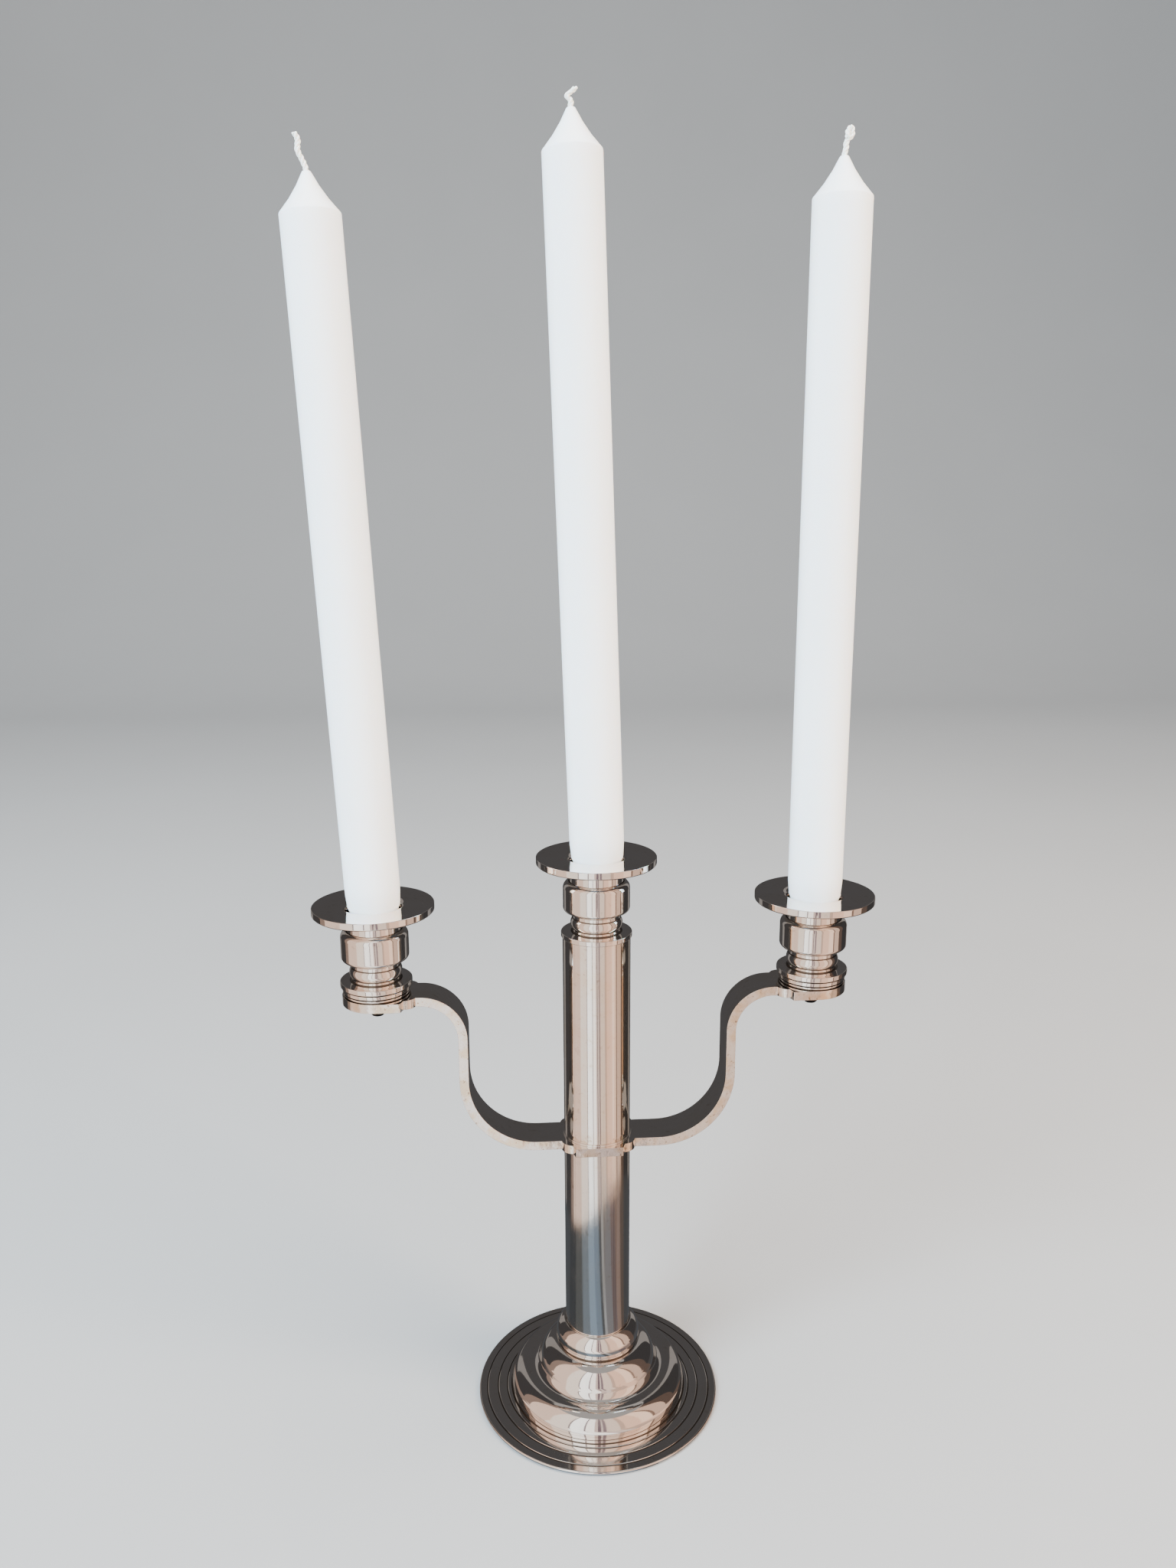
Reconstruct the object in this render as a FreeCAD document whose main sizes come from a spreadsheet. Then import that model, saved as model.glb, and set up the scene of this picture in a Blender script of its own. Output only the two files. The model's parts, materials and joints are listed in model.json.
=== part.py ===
import FreeCAD, Part
import Sketcher
import math
import os
import re

# A three-light table candelabra in silver plate, 230 mm across its arms.
# Origin: centre of the resting face, on the table. +Z is up and the arms lie along X.
# All sizes are in millimetres, and all turned pieces are drawn as radius against height.

SIZES = {
    # foot, heights above the table
    "felt_radius": 50.6, "felt_thickness": 0.5,
    "rim_radius": 52.9, "rim_round": 0.7,
    "ring_outer": 49.2, "ring_middle": 44.4, "ring_inner": 40.3,
    "ring_rise": 0.2, "ring_run": 0.25,
    "dome_radius": 38.3, "dome_round": 8.5, "dome_height": 4.95,
    "cove_reach": 29.6, "cove_round": 4.2, "cove_turn": 78,
    "bulb_round": 10.9, "bulb_turn": 71.5,
    "foot_wall": 1.2, "foot_height": 25.0, "foot_neck": 17.5,
    "plate_radius": 37.0, "plate_thickness": 1.2,
    "filler_gap": 0.15, "nut_pocket": 9.5, "pocket_top": 9.6,
    # rod and its fastening
    "rod_radius": 3.0, "rod_bottom": 2.4, "rod_hole": 3.3, "thread_gap": 0.05,
    "rod_end_gap": 1.0,
    "nut_flats": 10.0, "nut_height": 5.0,
    "nut_washer_radius": 9.0, "nut_washer_thickness": 1.2,
    # collar on the foot
    "collar_neck": 17.3, "collar_neck_height": 0.9,
    "collar_radius": 18.1, "collar_edge": 1.4, "collar_round": 8.0,
    "collar_top_radius": 14.7, "collar_height": 10.1,
    "tube_socket_floor": 5.6, "spigot_height": 12.0,
    # the two tubes
    "tube_radius": 14.0, "tube_wall": 1.0, "slip_gap": 0.1,
    "bush_height": 10.0, "bush_gap": 0.05,
    "seat_radius": 14.5, "seat_thickness": 0.8, "upper_tube_length": 87.2,
    # branch bar
    "bar_bottom": 121.8, "bar_thickness": 3.8, "bar_width": 16.0,
    "elbow_start": 25.4, "elbow_round": 30.0,
    "riser_top": 50.8, "swan_round": 17.3,
    "boss_flat": 9.8, "boss_depth": 15.3,
    "shoulder_run": 1.0, "shoulder_drop": 3.0, "root_round": 5.0, "root_run": 4.6,
    "arm_reach": 90.2, "tab_radius": 14.0, "tab_root": 10.5, "tab_lap": 2.0,
    # candle socket, heights above its seat
    "flange_radius": 14.6, "flange_height": 2.2, "flange_round": 0.4,
    "waist_radius": 9.8, "waist_height": 3.5,
    "bead_radius": 10.7, "bead_height": 8.3, "bead_round": 3.65,
    "throat_height": 9.7, "cup_radius": 13.7,
    "cup_foot": 10.9, "cup_foot_round": 1.7,
    "cup_wall_top": 20.9, "cup_shoulder_round": 3.0,
    "cup_mouth": 11.4, "cup_height": 23.6, "cup_floor": 12.0,
    "spigot_drop": 5.0, "socket_bore_depth": 9.0,
    # spacer, screw and washer under each outer socket
    "spacer_height": 3.7, "spacer_foot_radius": 13.5, "spacer_foot": 0.7,
    "spacer_groove_radius": 12.9, "spacer_groove": 0.4,
    "spacer_radius": 13.8, "spacer_neck_radius": 13.2, "spacer_neck": 0.3,
    "screw_radius": 2.5, "screw_hole": 2.7, "screw_length": 14.0,
    "screw_head_radius": 3.6, "screw_head_height": 3.4, "screw_head_round": 4.4,
    "screw_head_dome": 1.2,
    "hex_flats": 3.0, "hex_depth": 2.0,
    "dish_radius": 5.0, "dish_thickness": 1.2, "dish_bevel": 0.6,
    # nozzle, heights above the bottom of its liner
    "liner_radius": 11.1, "liner_wall": 0.6, "liner_floor": 0.6,
    "liner_rest": 12.1, "pan_radius": 24.5, "pan_thickness": 3.1, "pan_bevel": 0.5, "pan_edge": 0.2,
    "pan_height": 21.8, "funnel_radius": 13.4, "funnel_round": 3.6, "funnel_depth": 3.2,
    "pan_fillet": 1.2,
    # candle, heights above the pan; wick
    "candle_radius": 11.0, "candle_grip": 10.5, "candle_throat": 9.45, "candle_foot": 8.7,
    "candle_taper": 8.0,
    "candle_length": 278.0, "shoulder_round": 2.5, "shoulder_bow": 3.5,
    "tip_height": 14.0, "tip_round": 24.0, "tip_radius": 1.35, "wick_radius": 0.95, "wick_gap": 0.05,
    "seat_left": 19.6, "seat_centre": 16.6, "seat_right": 12.8,
    "lean_left": 2.58, "lean_centre": 1.82, "lean_right": 0.0,
    "turn_left": 168.0, "turn_centre": 180.0, "turn_right": 0.0,
    "slack_left": 0.35, "slack_centre": 0.35, "slack_right": 0.0,
}

DOCUMENT = FreeCAD.newDocument("Candelabra")
SHEET = DOCUMENT.addObject("Spreadsheet::Sheet", "Sizes")


def fill_sheet():
    """Write every size into the sheet, its name in column A and its alias on column B."""
    for row, (alias, size) in enumerate(SIZES.items(), start=1):
        SHEET.set(f"A{row}", alias)
        SHEET.set(f"B{row}", str(size))
        SHEET.setAlias(f"B{row}", alias)
    DOCUMENT.recompute()


def sized(formula):
    """The formula with each size name turned into a reference to the sheet."""
    def reference(match):
        word = match.group(0)
        return f"Sizes.{word}" if word in SIZES else word
    return re.sub(r"[a-z_]+", reference, formula)


def number(formula):
    """The present value of a formula of size names."""
    return float(SHEET.evalExpression(sized(formula)))


def new_body(name):
    """An empty body whose name and label are the sub-part's name."""
    body = DOCUMENT.addObject("PartDesign::Body", name)
    body.Label = name
    return body


def new_sketch(body, role, name, lift=None):
    """A sketch on one of the body's own origin planes, lifted along the plane's normal."""
    plane = next(f for f in body.Origin.OriginFeatures if f.Role == role)
    sketch = body.newObject("Sketcher::SketchObject", name)
    sketch.AttachmentSupport = (plane, [""])
    sketch.MapMode = "FlatFace"
    if lift:
        sketch.setExpression("AttachmentOffset.Base.z", sized(lift))
    return sketch


def bind(sketch, constraint, formula):
    """Add a dimension whose value follows the sheet."""
    index = sketch.addConstraint(constraint)
    sketch.setExpression(f"Constraints[{index}]", sized(formula))


def pin(sketch, edge, end, x, y):
    """Fix one end of an edge at the formulas x and y."""
    for axis, kind, formula in ((-2, "DistanceX", x), (-1, "DistanceY", y)):
        if formula == "0":
            sketch.addConstraint(Sketcher.Constraint("PointOnObject", edge, end, axis))
        else:
            value = number(formula)
            bind(sketch, Sketcher.Constraint(kind, -1, 1, edge, end, value), formula)


def arc_centre(start, end, radius, side):
    """Centre of the short arc from start to end, on the left of the chord for side 1."""
    chord = end - start
    half = chord.Length / 2
    rise = max(radius * radius - half * half, 0.0) ** 0.5
    left = FreeCAD.Vector(-chord.y, chord.x, 0).normalize()
    return (start + end) * 0.5 + left * (rise * side)


def outline(sketch, corners):
    """Draw a closed loop, anticlockwise, through corners of two or four entries.

    (x, y) ends a straight edge. (x, y, radius, "round") ends an arc that bulges out of the
    loop, and (x, y, radius, "hollow") one that bites into it.
    """
    points = [FreeCAD.Vector(number(c[0]), number(c[1]), 0) for c in corners]
    ends = []
    for index, corner in enumerate(corners):
        start = points[index - 1]
        end = points[index]
        if len(corner) == 2:
            edge = sketch.addGeometry(Part.LineSegment(start, end), False)
            ends.append((edge, 1, 2))
            continue
        radius = number(corner[2])
        convex = corner[3] == "round"
        centre = arc_centre(start, end, radius, 1 if convex else -1)
        first, last = (start, end) if convex else (end, start)
        circle = Part.Circle(centre, FreeCAD.Vector(0, 0, 1), radius)
        arc = Part.ArcOfCircle(circle, circle.parameter(first), circle.parameter(last))
        edge = sketch.addGeometry(arc, False)
        ends.append((edge, 1, 2) if convex else (edge, 2, 1))
    for index, corner in enumerate(corners):
        edge, _, tail = ends[index]
        following, head, _ = ends[(index + 1) % len(corners)]
        sketch.addConstraint(Sketcher.Constraint("Coincident", edge, tail, following, head))
        pin(sketch, edge, tail, corner[0], corner[1])
    for (edge, _, _), corner in zip(ends, corners):
        if len(corner) == 4:
            bind(sketch, Sketcher.Constraint("Radius", edge, number(corner[2])), corner[2])


def circles(sketch, holes):
    """Draw circles given as (x, y, radius) formulas."""
    for x, y, radius in holes:
        centre = FreeCAD.Vector(number(x), number(y), 0)
        circle = Part.Circle(centre, FreeCAD.Vector(0, 0, 1), number(radius))
        edge = sketch.addGeometry(circle, False)
        pin(sketch, edge, 3, x, y)
        bind(sketch, Sketcher.Constraint("Radius", edge, number(radius)), radius)


def hexagon(flats):
    """Corners of a regular hexagon, anticlockwise, with two of them on the Y axis."""
    reach = f"{flats} / 2 / cos(30 * 1deg)"
    corners = []
    for index in range(6):
        angle = f"({60 * index + 30} * 1deg)"
        x = "0" if index in (1, 4) else f"{reach} * cos{angle}"
        corners.append((x, f"{reach} * sin{angle}"))
    return corners


def turned(name, corners, base="0"):
    """A body turned about Z from a profile, standing at the height base."""
    body = new_body(name)
    sketch = new_sketch(body, "XZ_Plane", f"{name}_profile")
    outline(sketch, corners)
    turn = body.newObject("PartDesign::Revolution", f"{name}_turn")
    turn.Profile = sketch
    turn.ReferenceAxis = (sketch, ["V_Axis"])
    turn.Angle = 360
    if base != "0":
        body.setExpression("Placement.Base.z", sized(base))
    return body


def shift(body, across):
    """Move a body along X by a formula."""
    if across != "0":
        body.setExpression("Placement.Base.x", sized(across))


def pad(body, sketch, name, length, symmetric=False):
    """Extrude a sketch by a length formula."""
    feature = body.newObject("PartDesign::Pad", name)
    feature.Profile = sketch
    feature.setExpression("Length", sized(length))
    if symmetric:
        feature.SideType = "Symmetric"
    return feature


def pocket_through(body, sketch, name):
    """Cut a sketch through the whole body, both ways."""
    feature = body.newObject("PartDesign::Pocket", name)
    feature.Profile = sketch
    feature.SideType = "Symmetric"
    feature.Type = "ThroughAll"
    return feature


# ---------------------------------------------------------------- foot

COVE_HEIGHT = "(dome_height + dome_round + cove_round)"
BULB_REACH = "(cove_reach - (cove_round + bulb_round) * sin(cove_turn * 1deg))"
BULB_HEIGHT = f"({COVE_HEIGHT} - (cove_round + bulb_round) * cos(cove_turn * 1deg))"
RIM_TOP = "(felt_thickness + 2 * rim_round)"
PLATE_TOP = "(felt_thickness + plate_thickness)"


def foot_curve(inset):
    """Dome, cove and bulb of the foot, upwards, a distance inset under the outer skin."""
    dome = f"(dome_round - {inset})"
    cove = f"(cove_round + {inset})"
    bulb = f"(bulb_round - {inset})"
    dome_reach = "(dome_radius - dome_round)"
    return [
        (f"dome_radius - {inset}", "dome_height"),
        (dome_reach, f"dome_height + {dome}", dome, "round"),
        ("cove_reach", f"dome_height + {dome}"),
        (f"cove_reach - {cove} * sin(cove_turn * 1deg)",
         f"{COVE_HEIGHT} - {cove} * cos(cove_turn * 1deg)", cove, "hollow"),
        (f"{BULB_REACH} + {bulb} * cos(bulb_turn * 1deg)",
         f"{BULB_HEIGHT} + {bulb} * sin(bulb_turn * 1deg)", bulb, "round"),
    ]


def reversed_run(start, corners):
    """The same run walked the other way, from its last corner down to the corner start."""
    flipped = {"round": "hollow", "hollow": "round"}
    path = [start] + corners
    back = [tuple(path[-1][:2])]
    for index in range(len(path) - 1, 0, -1):
        corner = path[index]
        target = tuple(path[index - 1][:2])
        if len(corner) == 4:
            target = target + (corner[2], flipped[corner[3]])
        back.append(target)
    return back


def base_shell():
    """Spun foot: rolled rim, three low turned steps, dome, cove and bulb, open below."""
    rings = []
    level = RIM_TOP
    for ring in ("ring_outer", "ring_middle", "ring_inner"):
        rings.append((ring, level))
        level = f"({level} + ring_rise)"
        rings.append((f"{ring} - ring_run", level))
    inner_foot = ("dome_radius - foot_wall", "felt_thickness")
    inner_rise = foot_curve("foot_wall")
    corners = [
        ("rim_radius - rim_round", "felt_thickness"),
        ("rim_radius", "felt_thickness + rim_round", "rim_round", "round"),
        ("rim_radius - rim_round", RIM_TOP, "rim_round", "round"),
        *rings,
        ("dome_radius", level),
        *foot_curve("0"),
        ("foot_neck", "foot_height"),
        ("rod_hole", "foot_height"),
        ("rod_hole", inner_rise[-1][1]),
        *reversed_run(inner_foot, inner_rise),
    ]
    return turned("base_shell", corners)


def base_weight():
    """Filler cast into the foot, with a pocket for the nut and washer."""
    rise = foot_curve("(foot_wall + filler_gap)")
    corners = [
        ("dome_radius - foot_wall - filler_gap", PLATE_TOP),
        *rise,
        ("rod_hole", rise[-1][1]),
        ("rod_hole", "pocket_top"),
        ("nut_pocket", "pocket_top"),
        ("nut_pocket", PLATE_TOP),
    ]
    return turned("base_weight", corners)


def disc(name, radius, thickness, base, bore=None):
    """A flat round piece, with a hole if bore is given."""
    inner = bore or "0"
    corners = [(inner, "0"), (radius, "0"), (radius, thickness), (inner, thickness)]
    return turned(name, corners, base)


def base_nut():
    """Hexagon nut on the lower end of the rod."""
    body = new_body("base_nut")
    sketch = new_sketch(body, "XY_Plane", "base_nut_hexagon")
    outline(sketch, hexagon("nut_flats"))
    circles(sketch, [("0", "0", "rod_radius + thread_gap")])
    pad(body, sketch, "base_nut_pad", "nut_height")
    body.setExpression("Placement.Base.z", sized("pocket_top - nut_washer_thickness - nut_height"))
    return body


def stem_collar():
    """Domed collar between foot and stem, with a ring socket and a spigot for the tube."""
    bore = "tube_radius + slip_gap"
    spigot = "tube_radius - tube_wall - slip_gap"
    corners = [
        ("rod_hole", "0"),
        ("collar_neck", "0"),
        ("collar_neck", "collar_neck_height"),
        ("collar_radius", "collar_edge"),
        ("collar_top_radius", "collar_height", "collar_round", "round"),
        (bore, "collar_height"),
        (bore, "tube_socket_floor"),
        (spigot, "tube_socket_floor"),
        (spigot, "spigot_height"),
        ("rod_hole", "spigot_height"),
    ]
    return turned("stem_collar", corners, "foot_height")


# ---------------------------------------------------------------- stem

BAR_TOP = "(bar_bottom + bar_thickness)"
UPPER_TUBE_BASE = f"({BAR_TOP} + seat_thickness)"
CENTRE_SEAT = f"({UPPER_TUBE_BASE} + upper_tube_length)"
LOWER_TUBE_BASE = "(foot_height + tube_socket_floor)"
BORE = "tube_radius - tube_wall"


def tube(name, length, base):
    """A plain stem tube."""
    corners = [(BORE, "0"), ("tube_radius", "0"), ("tube_radius", length), (BORE, length)]
    return turned(name, corners, base)


def stem():
    """Tubes, bushes, seat ring and the rod that clamps them."""
    bush = f"{BORE} - bush_gap"
    rod_length = f"({CENTRE_SEAT} + socket_bore_depth - rod_end_gap - rod_bottom)"
    return [
        tube("lower_tube", f"bar_bottom - {LOWER_TUBE_BASE}", LOWER_TUBE_BASE),
        disc("lower_tube_bush", bush, "bush_height", "bar_bottom - bush_height", "rod_hole"),
        disc("seat_ring", "seat_radius", "seat_thickness", BAR_TOP, "rod_hole"),
        tube("upper_tube", "upper_tube_length", UPPER_TUBE_BASE),
        disc("upper_tube_bush", bush, "bush_height", UPPER_TUBE_BASE, "rod_hole"),
        disc("tie_rod", "rod_radius", rod_length, "rod_bottom"),
    ]


# ---------------------------------------------------------------- branch bar

RISER = "(elbow_start + elbow_round)"
TAB_BOTTOM = "(riser_top + swan_round - bar_thickness / 2)"


def arm_profile():
    """Side view of the right arm: out, up through the elbow, and out again."""
    half = "bar_thickness / 2"
    tab = "arm_reach - tab_root + tab_lap"
    return [
        ("elbow_start", "0"),
        (f"{RISER} + {half}", f"elbow_round + {half}", f"elbow_round + {half}", "round"),
        (f"{RISER} + {half}", "riser_top"),
        (f"{RISER} + swan_round", TAB_BOTTOM, f"swan_round - {half}", "hollow"),
        (tab, TAB_BOTTOM),
        (tab, f"{TAB_BOTTOM} + bar_thickness"),
        (f"{RISER} + swan_round", f"{TAB_BOTTOM} + bar_thickness"),
        (f"{RISER} - {half}", "riser_top", f"swan_round + {half}", "round"),
        (f"{RISER} - {half}", f"elbow_round + {half}"),
        ("elbow_start", "bar_thickness", f"elbow_round - {half}", "hollow"),
        ("0", "bar_thickness"),
        ("0", "0"),
    ]


def root_corners(flat, depth, outward):
    """Shoulder and fillet from the corner (flat, depth) to the strip's front edge."""
    sign = "+" if outward > 0 else "-"
    edge = "bar_width / 2"
    corner = (f"{flat}", f"-({depth})")
    shoulder = (f"{flat} {sign} shoulder_run", f"-({depth} - shoulder_drop)")
    strip = (f"{flat} {sign} (shoulder_run + root_run)", f"-{edge}", "root_round", "hollow")
    return corner, shoulder, strip


def mirrored_front(run):
    """The same run on the back of the bar, walked the other way."""
    back = []
    previous = None
    for corner in reversed(run):
        x, y = corner[0], corner[1]
        y = y[1:] if y.startswith("-") else f"-({y})"
        back.append((x, y) if previous is None or len(previous) == 2
                    else (x, y, previous[2], previous[3]))
        previous = corner
    return back


def branch_bar():
    """One-piece bar: flat strip bent into two arms, centre boss, round-ended socket tabs."""
    body = new_body("branch_bar")
    arm_sketch = new_sketch(body, "XZ_Plane", "arm_profile")
    outline(arm_sketch, arm_profile())
    arm = pad(body, arm_sketch, "arm_strip", "bar_width", symmetric=True)

    front = list(root_corners("(arm_reach - tab_root)", "tab_radius", -1))[::-1]
    strip_end = (front[0][0], front[0][1])
    tab_front = [strip_end, (front[1][0], front[1][1], "root_round", "hollow"), front[2]]
    tab_sketch = new_sketch(body, "XY_Plane", "tab_outline", TAB_BOTTOM)
    outline(tab_sketch, [
        *tab_front,
        ("arm_reach", "-tab_radius"),
        ("arm_reach + tab_radius", "0", "tab_radius", "round"),
        ("arm_reach", "tab_radius", "tab_radius", "round"),
        *mirrored_front(tab_front),
    ])
    tab = pad(body, tab_sketch, "socket_tab", "bar_thickness")

    boss_front = list(root_corners("boss_flat", "boss_depth", 1))
    boss_sketch = new_sketch(body, "XY_Plane", "boss_outline")
    outline(boss_sketch, [
        ("0", "-boss_depth"),
        *boss_front,
        *mirrored_front(boss_front),
        ("0", "boss_depth"),
    ])
    boss = pad(body, boss_sketch, "centre_boss", "bar_thickness")

    mirror = body.newObject("PartDesign::Mirrored", "left_half")
    mirror.Originals = [arm, tab, boss]
    side = next(f for f in body.Origin.OriginFeatures if f.Role == "YZ_Plane")
    mirror.MirrorPlane = (side, [""])
    body.Tip = mirror

    hole_sketch = new_sketch(body, "XY_Plane", "bar_holes")
    circles(hole_sketch, [
        ("0", "0", "rod_hole"),
        ("arm_reach", "0", "screw_hole"),
        ("-arm_reach", "0", "screw_hole"),
    ])
    body.Tip = pocket_through(body, hole_sketch, "bar_bores")
    body.setExpression("Placement.Base.z", sized("bar_bottom"))
    return body


# ---------------------------------------------------------------- sockets and nozzles

SIDE_SEAT = f"(bar_bottom + {TAB_BOTTOM} + bar_thickness + spacer_height)"


def socket(name, across, seat, bore, spigot):
    """Turned candle socket: flange, bead, waist and open cup, bored from below."""
    corners = [
        ("flange_radius - flange_round", "0"),
        ("flange_radius", "flange_round", "flange_round", "round"),
        ("flange_radius", "flange_height - flange_round"),
        ("flange_radius - flange_round", "flange_height", "flange_round", "round"),
        ("waist_radius", "flange_height"),
        ("waist_radius", "waist_height"),
        ("waist_radius", "bead_height", "bead_round", "round"),
        ("waist_radius", "throat_height"),
        ("cup_radius - cup_foot_round", "cup_foot"),
        ("cup_radius", "cup_foot + cup_foot_round", "cup_foot_round", "round"),
        ("cup_radius", "cup_wall_top"),
        ("cup_mouth", "cup_height", "cup_shoulder_round", "round"),
        ("cup_mouth", "cup_floor"),
        ("0", "cup_floor"),
        ("0", "socket_bore_depth"),
        (bore, "socket_bore_depth"),
    ]
    if spigot:
        plug = "tube_radius - tube_wall - slip_gap"
        corners += [(bore, "-spigot_drop"), (plug, "-spigot_drop"), (plug, "0")]
    else:
        corners += [(bore, "0")]
    body = turned(name, corners, seat)
    shift(body, across)
    return body


def spacer_ring(name, across):
    """Grooved ring between a socket and the tab of the bar."""
    ring_bottom = "spacer_foot + spacer_groove"
    ring_top = "spacer_height - spacer_neck"
    corners = [
        ("screw_hole", "0"),
        ("spacer_foot_radius", "0"),
        ("spacer_foot_radius", "spacer_foot"),
        ("spacer_groove_radius", "spacer_foot"),
        ("spacer_groove_radius", ring_bottom),
        ("spacer_radius", ring_bottom),
        ("spacer_radius", ring_top),
        ("spacer_neck_radius", ring_top),
        ("spacer_neck_radius", "spacer_height"),
        ("screw_hole", "spacer_height"),
    ]
    body = turned(name, corners, f"{SIDE_SEAT} - spacer_height")
    shift(body, across)
    return body


def screw(name, across):
    """Domed cap screw, head down, driven up through the tab into the socket."""
    shank = "screw_head_height + screw_length"
    shoulder = "screw_head_height - screw_head_dome"
    corners = [
        ("screw_head_radius - screw_head_dome", "0"),
        ("screw_head_radius", shoulder, "screw_head_round", "round"),
        ("screw_head_radius", "screw_head_height"),
        ("screw_radius", "screw_head_height"),
        ("screw_radius", shank),
        ("0", shank),
        ("0", "0"),
    ]
    base = f"bar_bottom + {TAB_BOTTOM} - dish_thickness - screw_head_height"
    body = turned(name, corners, base)
    sketch = new_sketch(body, "XY_Plane", f"{name}_hexagon")
    outline(sketch, hexagon("hex_flats"))
    drive = body.newObject("PartDesign::Pocket", f"{name}_drive")
    drive.Profile = sketch
    drive.Reversed = True
    drive.setExpression("Length", sized("hex_depth"))
    shift(body, across)
    return body


def dish_washer(name, across):
    """Washer with a bevelled lower edge under the screw head's shoulder."""
    corners = [
        ("screw_hole", "0"),
        ("dish_radius - dish_bevel", "0"),
        ("dish_radius", "dish_bevel"),
        ("dish_radius", "dish_thickness"),
        ("screw_hole", "dish_thickness"),
    ]
    body = turned(name, corners, f"bar_bottom + {TAB_BOTTOM} - dish_thickness")
    shift(body, across)
    return body


def nozzle(name, across, seat):
    """Loose nozzle: flat drip pan with a funnel mouth and a closed liner."""
    under = "(pan_height - pan_thickness)"
    inner = "(liner_radius - liner_wall)"
    corners = [
        ("liner_radius", "0"),
        ("liner_radius", f"{under} - pan_fillet"),
        ("liner_radius + pan_fillet", under, "pan_fillet", "hollow"),
        ("pan_radius - pan_bevel", under),
        ("pan_radius", f"{under} + pan_bevel"),
        ("pan_radius", "pan_height - pan_edge"),
        ("pan_radius - pan_edge", "pan_height"),
        ("funnel_radius", "pan_height"),
        (inner, "pan_height - funnel_depth", "funnel_round", "round"),
        (inner, "liner_floor"),
        ("0", "liner_floor"),
        ("0", "0"),
    ]
    body = turned(name, corners, f"{seat} + liner_rest")
    shift(body, across)
    return body


# ---------------------------------------------------------------- candles


def lean_placement(across, height, lean, turn, slack):
    """Placement on a pan, tipped by lean degrees towards the compass angle turn.

    slack is how far the candle has slid along X inside its liner.
    """
    upright = FreeCAD.Rotation(FreeCAD.Vector(0, 0, 1), number(turn))
    tipped = FreeCAD.Rotation(FreeCAD.Vector(0, 1, 0), number(lean))
    base = FreeCAD.Vector(number(across) + number(slack), 0, number(height))
    back = FreeCAD.Rotation(FreeCAD.Vector(0, 0, 1), -number(turn))
    return FreeCAD.Placement(base, upright * tipped * back)


def candle(name, across, seat, depth, lean, turn, slack):
    """Dinner candle with a tapered foot, soft shoulder, hollow-sided tip and a wick channel."""
    channel = "wick_radius + wick_gap"
    foot = f"({depth})"
    length = "candle_length"
    corners = [
        (channel, f"-{foot}"),
        ("candle_foot", f"-{foot}"),
        ("candle_throat", "-funnel_depth"),
        ("candle_grip", "0"),
        ("candle_radius", "candle_taper"),
        ("candle_radius", f"{length} - {foot} - shoulder_round"),
        ("candle_radius - shoulder_round", f"{length} - {foot}", "shoulder_bow", "round"),
        ("tip_radius", f"{length} - {foot} + tip_height - shoulder_round", "tip_round", "hollow"),
        (channel, f"{length} - {foot} + tip_height - shoulder_round"),
    ]
    body = turned(name, corners)
    height = f"{seat} + liner_rest + pan_height"
    body.Placement = lean_placement(across, height, lean, turn, slack)
    return body


def rounded_path(points):
    """Straight runs joined by tangent arcs, each as wide as its two runs allow."""
    edges = []
    last = points[0]
    for before, corner, after in zip(points, points[1:], points[2:]):
        into = (corner - before).normalize()
        out = (after - corner).normalize()
        reach = 0.45 * min((corner - before).Length, (after - corner).Length)
        start = corner - into * reach
        end = corner + out * reach
        half_turn = into.getAngle(out) / 2
        radius = reach / math.tan(half_turn)
        inward = (out - into).normalize()
        middle = corner + inward * (radius / math.cos(half_turn) - radius)
        edges.append(Part.LineSegment(last, start).toShape())
        edges.append(Part.Arc(start, middle, end).toShape())
        last = end
    edges.append(Part.LineSegment(last, points[-1]).toShape())
    return Part.Wire(edges)


def wick(name, across, seat, depth, lean, turn, slack, bends):
    """Cotton wick: a straight core through the candle and a bent free end above its tip.

    bends lists the free end's corners as (along X, along Y, up) from the candle's tip.
    """
    radius = number("wick_radius")
    foot = number(f"-({depth})")
    tip = number(f"candle_length - {depth} + tip_height - shoulder_round")
    points = [FreeCAD.Vector(0, 0, foot)]
    points += [FreeCAD.Vector(x, y, tip + up) for x, y, up in bends]
    path = rounded_path(points)
    section = Part.Wire([Part.makeCircle(radius, points[0])])
    feature = DOCUMENT.addObject("Part::Feature", name)
    feature.Label = name
    feature.Shape = path.makePipeShell([section], True, False)
    height = f"{seat} + liner_rest + pan_height"
    feature.Placement = lean_placement(across, height, lean, turn, slack)
    return feature


# Free ends of the wicks, in millimetres from each candle's tip.
WICK_ENDS = {
    "left": [(0.0, 0.0, 1.2), (-0.9, 0.3, 4.4), (-2.3, -0.2, 7.9), (-2.0, 0.3, 11.4),
             (-2.9, 0.1, 13.6)],
    "centre": [(0.0, 0.0, 1.4), (0.6, 0.2, 3.8), (-0.6, 0.4, 6.2), (1.3, 0.1, 7.6)],
    "right": [(0.0, 0.0, 1.2), (0.7, 0.0, 4.0), (1.0, 0.3, 7.4), (2.0, 0.0, 10.6)],
}


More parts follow.
